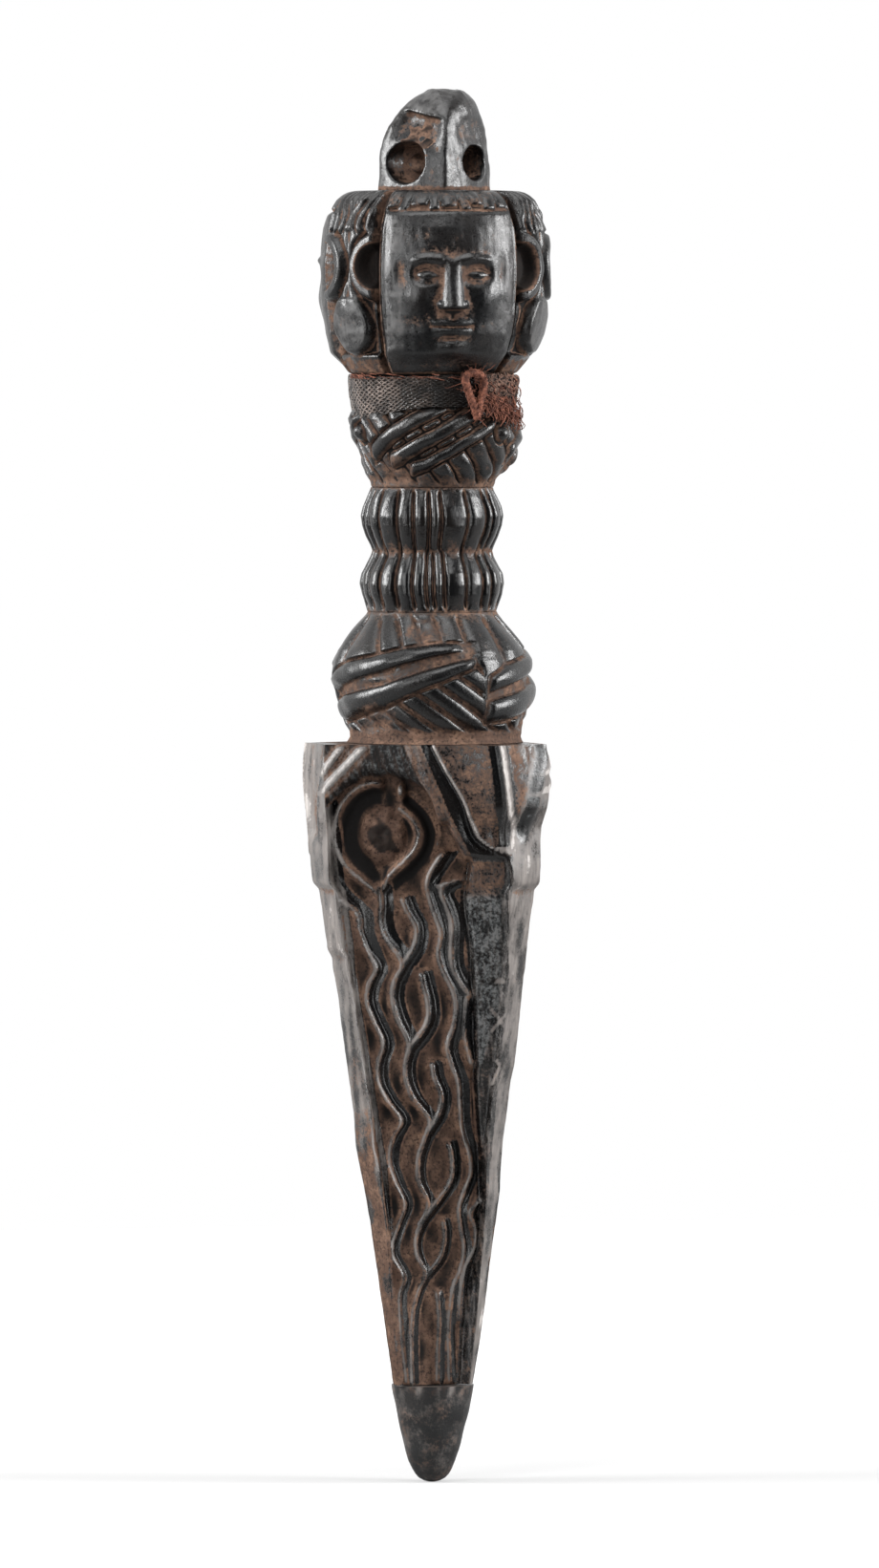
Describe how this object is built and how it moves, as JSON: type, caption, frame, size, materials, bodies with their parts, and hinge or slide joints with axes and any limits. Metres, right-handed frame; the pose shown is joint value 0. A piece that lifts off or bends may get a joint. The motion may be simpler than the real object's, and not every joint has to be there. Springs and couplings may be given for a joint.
{
  "type": "ritual dagger",
  "caption": "Carved hardwood ritual dagger with a twisted three-sided blade, serpent relief, knotted and fluted grip, cloth tape, three-faced head and pierced crown.",
  "frame": {"origin": "the blade's point, on the dagger's axis", "axes": "+Z along the axis from the point to the crown, -Y the way the front face looks, +X to the front face's left hand"},
  "size_m": [0.0505, 0.0522, 0.2916],
  "materials": {
    "dark_wood": "near black, hand polished on the ridges",
    "worn_wood": "brown and rubbed matt at the point",
    "grime_wood": "brown with ochre grime in the recesses",
    "tape": "woven, worn matt",
    "thread": "frayed twisted thread"
  },
  "bodies": {
    "root": {"crown_finial": "dark_wood", "hair_cap": "dark_wood", "head_core": "grime_wood", "face_front": "dark_wood", "face_right": "dark_wood", "face_left": "dark_wood", "ears_right": "dark_wood", "ears_left": "dark_wood", "ears_back": "dark_wood", "ribbon_band": "tape", "ribbon_tail": "tape", "thread_loop": "thread", "neck_knot": "dark_wood", "upper_bead": "dark_wood", "lower_bead": "dark_wood", "base_knot": "dark_wood", "base_rim": "grime_wood", "blade_core": "dark_wood", "leaf_front": "dark_wood", "leaf_right": "dark_wood", "leaf_left": "dark_wood", "serpent_front": "dark_wood", "serpent_right": "dark_wood", "serpent_left": "dark_wood", "blade_tip": "worn_wood"}
  },
  "joints": []
}
